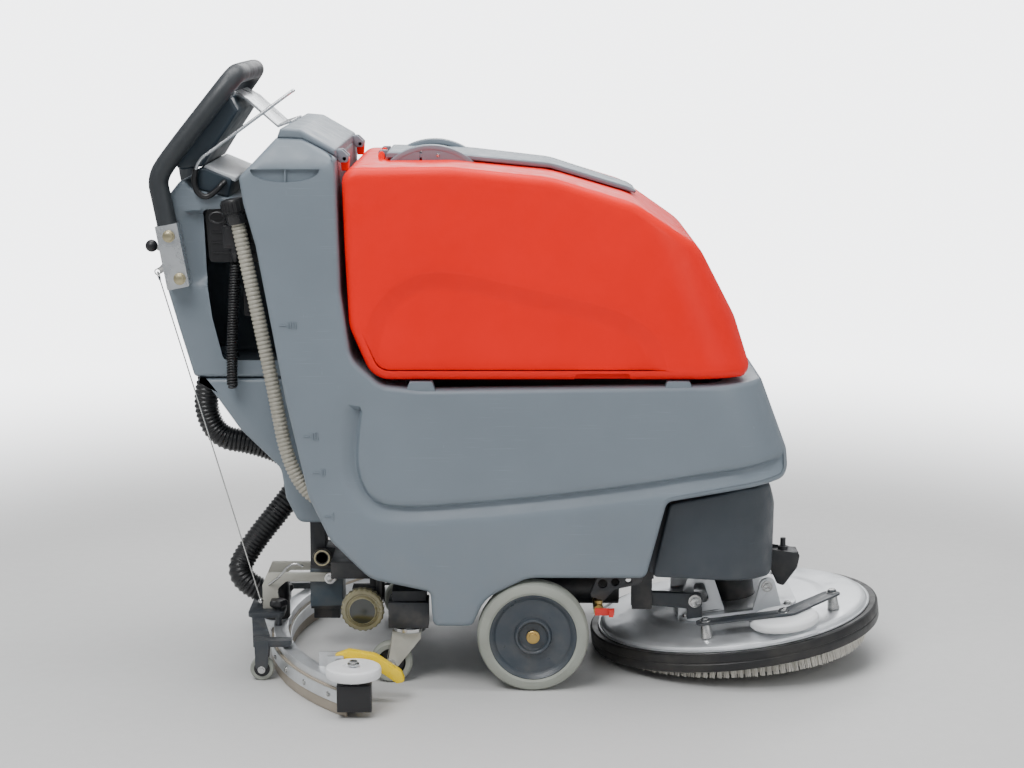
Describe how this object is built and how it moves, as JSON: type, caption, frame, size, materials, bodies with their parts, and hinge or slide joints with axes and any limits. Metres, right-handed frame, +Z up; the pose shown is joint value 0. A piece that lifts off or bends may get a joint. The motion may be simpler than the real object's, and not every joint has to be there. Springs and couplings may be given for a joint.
{
  "type": "walk-behind floor scrubber drier",
  "caption": "Walk-behind floor scrubber drier: tilting upper tank on a moulded lower tank with a rear column, loop handle, disc brush deck, curved squeegee, drive wheels and casters.",
  "frame": {"origin": "on the floor, under the middle of the machine's length and width", "axes": "+X forward towards the brush deck, +Y to the machine's left, +Z up"},
  "size_m": [1.3183, 0.838, 1.0785],
  "materials": {
    "body_grey": "satin moulded, scuffed",
    "tank_red": "semi-gloss moulded",
    "skirt_charcoal": "satin moulded",
    "console_blue_grey": "satin moulded",
    "panel_black": "matte",
    "frame_black": "satin paint",
    "arm_grey": "satin paint",
    "bracket_cream": "satin paint",
    "cast_metal": "sand cast",
    "deck_metal": "galvanised",
    "plate_metal": "brushed",
    "steel": "bright",
    "brass": "dull",
    "grip_black": "satin foam",
    "tyre_grey": "non-marking rubber",
    "hub_dark": "satin moulded",
    "ring_black": "satin rubber",
    "bristle_white": "nylon tufts",
    "roller_white": "satin",
    "blade_beige": "gum rubber",
    "latch_yellow": "satin moulded",
    "hose_black": "ribbed",
    "hose_beige": "ribbed",
    "battery_grey": "moulded",
    "filter_clear": "smoked clear",
    "button_green": "moulded"
  },
  "bodies": {
    "chassis": {"lower_tank": "body_grey", "front_skirt": "skirt_charcoal", "chassis_frame": "frame_black", "transaxle": "frame_black", "wheel_bolts": "brass", "batteries": "battery_grey", "neck_cover": "body_grey", "column_hood": "body_grey", "console": "console_blue_grey", "switch_box": "console_blue_grey", "console_strap": "plate_metal", "handle": "grip_black", "handle_brackets": "plate_metal", "cord_hanger": "steel", "suction_hose": "hose_black", "drain_hose": "hose_beige", "drain_cap": "hose_black", "coil_cord": "hose_black", "cord_plug": "panel_black", "filter_head": "panel_black", "drain_valve": "brass"},
    "wheel_right": {"tyre_right": "tyre_grey", "hub_right": "hub_dark"},
    "wheel_left": {"tyre_left": "tyre_grey", "hub_left": "hub_dark"},
    "caster_right": {"caster_fork_right": "bracket_cream"},
    "caster_left": {"caster_fork_left": "bracket_cream"},
    "caster_right_wheel": {"caster_wheel_right": "tyre_grey"},
    "caster_left_wheel": {"caster_wheel_left": "tyre_grey"},
    "upper_tank": {"recovery_tank": "tank_red"},
    "lid": {"tank_lid": "body_grey"},
    "deck": {"deck_cover": "deck_metal", "deck_ring": "ring_black", "deck_arms": "arm_grey", "deck_casting": "cast_metal", "brush_motor": "frame_black", "roller_arm": "arm_grey"},
    "brush": {"brush_plate": "panel_black", "bristles": "bristle_white"},
    "guide_roller": {"deck_roller": "roller_white"},
    "squeegee": {"squeegee_arm": "bracket_cream", "squeegee_body": "cast_metal", "squeegee_blades": "blade_beige", "suction_elbow": "panel_black"},
    "end_roller_r": {"end_roller_right": "roller_white"},
    "end_roller_l": {"end_roller_left": "roller_white"},
    "support_roller_r": {"support_roller_right": "tyre_grey"},
    "support_roller_l": {"support_roller_left": "tyre_grey"},
    "latch": {"squeegee_latch": "latch_yellow"},
    "lever": {"lift_lever": "steel", "lever_ball": "panel_black"},
    "cable": {"lift_cable": "steel"},
    "speed_dial": {"speed_knob": "panel_black"},
    "water_dial": {"water_knob": "panel_black"},
    "start_key": {"start_button": "button_green"},
    "filter_cover": {"filter_cap": "filter_clear"}
  },
  "joints": [
    {"name": "wheel_right_spin", "type": "hinge", "parent": "chassis", "child": "wheel_right", "pos_m": [0.0195, -0.239, 0.097], "axis": [0, 1, 0], "continuous": true},
    {"name": "wheel_left_spin", "type": "hinge", "parent": "chassis", "child": "wheel_left", "pos_m": [0.0195, 0.239, 0.097], "axis": [0, 1, 0], "continuous": true},
    {"name": "caster_right_swivel", "type": "hinge", "parent": "chassis", "child": "caster_right", "pos_m": [-0.197, -0.2, 0.104], "axis": [0, 0, 1], "continuous": true},
    {"name": "caster_right_spin", "type": "hinge", "parent": "caster_right", "child": "caster_right_wheel", "pos_m": [-0.229, -0.2, 0.037], "axis": [0, 1, 0], "continuous": true},
    {"name": "caster_left_swivel", "type": "hinge", "parent": "chassis", "child": "caster_left", "pos_m": [-0.197, 0.2, 0.104], "axis": [0, 0, 1], "continuous": true},
    {"name": "caster_left_spin", "type": "hinge", "parent": "caster_left", "child": "caster_left_wheel", "pos_m": [-0.229, 0.2, 0.037], "axis": [0, 1, 0], "continuous": true},
    {"name": "tank_tilt", "type": "hinge", "parent": "chassis", "child": "upper_tank", "pos_m": [-0.3, 0, 0.921], "axis": [0, 1, 0], "range_deg": [-60, 0]},
    {"name": "lid_open", "type": "hinge", "parent": "upper_tank", "child": "lid", "pos_m": [-0.246, 0, 0.919], "axis": [0, 1, 0], "range_deg": [-85, 0]},
    {"name": "deck_lift", "type": "hinge", "parent": "chassis", "child": "deck", "pos_m": [0.215, 0, 0.128], "axis": [0, 1, 0], "range_deg": [0, 4.2]},
    {"name": "brush_spin", "type": "hinge", "parent": "deck", "child": "brush", "pos_m": [0.397, 0, 0.0183], "axis": [-0.0732, 0, 0.9973], "continuous": true},
    {"name": "guide_roller_spin", "type": "hinge", "parent": "deck", "child": "guide_roller", "pos_m": [0.46247, -0.201, 0.10365], "axis": [-0.1253, 0, 0.9921], "continuous": true},
    {"name": "squeegee_lift", "type": "hinge", "parent": "chassis", "child": "squeegee", "pos_m": [-0.349, 0, 0.146], "axis": [0, 1, 0], "range_deg": [0, 8.2], "deforming": ["suction_hose"]},
    {"name": "end_roller_r_spin", "type": "hinge", "parent": "squeegee", "child": "end_roller_r", "pos_m": [-0.284, -0.372, 0.063], "axis": [0, 0, 1], "continuous": true},
    {"name": "support_roller_r_spin", "type": "hinge", "parent": "squeegee", "child": "support_roller_r", "pos_m": [-0.45899, -0.19038, 0.021], "axis": [0, 1, 0], "continuous": true},
    {"name": "end_roller_l_spin", "type": "hinge", "parent": "squeegee", "child": "end_roller_l", "pos_m": [-0.284, 0.372, 0.063], "axis": [0, 0, 1], "continuous": true},
    {"name": "support_roller_l_spin", "type": "hinge", "parent": "squeegee", "child": "support_roller_l", "pos_m": [-0.45899, 0.19038, 0.021], "axis": [0, 1, 0], "continuous": true},
    {"name": "latch_open", "type": "hinge", "parent": "squeegee", "child": "latch", "pos_m": [-0.312, -0.311, 0.074], "axis": [0, 1, 0], "range_deg": [-70, 0]},
    {"name": "lever_turn", "type": "hinge", "parent": "chassis", "child": "lever", "pos_m": [-0.606, -0.1, 0.742], "axis": [0, 1, 0], "range_deg": [0, 26.1]},
    {"name": "cable_swing", "type": "hinge", "parent": "squeegee", "child": "cable", "pos_m": [-0.474, -0.066, 0.108], "axis": [0, 1, 0], "range_deg": [-8.6, 0]},
    {"name": "speed_knob_turn", "type": "hinge", "parent": "chassis", "child": "speed_dial", "pos_m": [-0.57825, -0.062, 0.94337], "axis": [-0.7878, 0, 0.6159], "range_deg": [-135, 135]},
    {"name": "water_knob_turn", "type": "hinge", "parent": "chassis", "child": "water_dial", "pos_m": [-0.54868, -0.104, 0.98119], "axis": [-0.7878, 0, 0.6159], "range_deg": [-135, 135]},
    {"name": "filter_cap_turn", "type": "hinge", "parent": "chassis", "child": "filter_cover", "pos_m": [-0.279, -0.191, 0.131], "axis": [0, -1, 0], "range_deg": [0, 90]},
    {"name": "start_press", "type": "slide", "parent": "chassis", "child": "start_key", "axis": [0.7878, 0, -0.6159], "range_m": [0, 0.003], "stiffness_N_per_m": 400, "springref_m": -0.001}
  ],
  "couplings": [
    {"joint": "lever_turn", "follows": "squeegee_lift", "ratio": 3.17},
    {"joint": "cable_swing", "follows": "squeegee_lift", "ratio": -1.031}
  ]
}
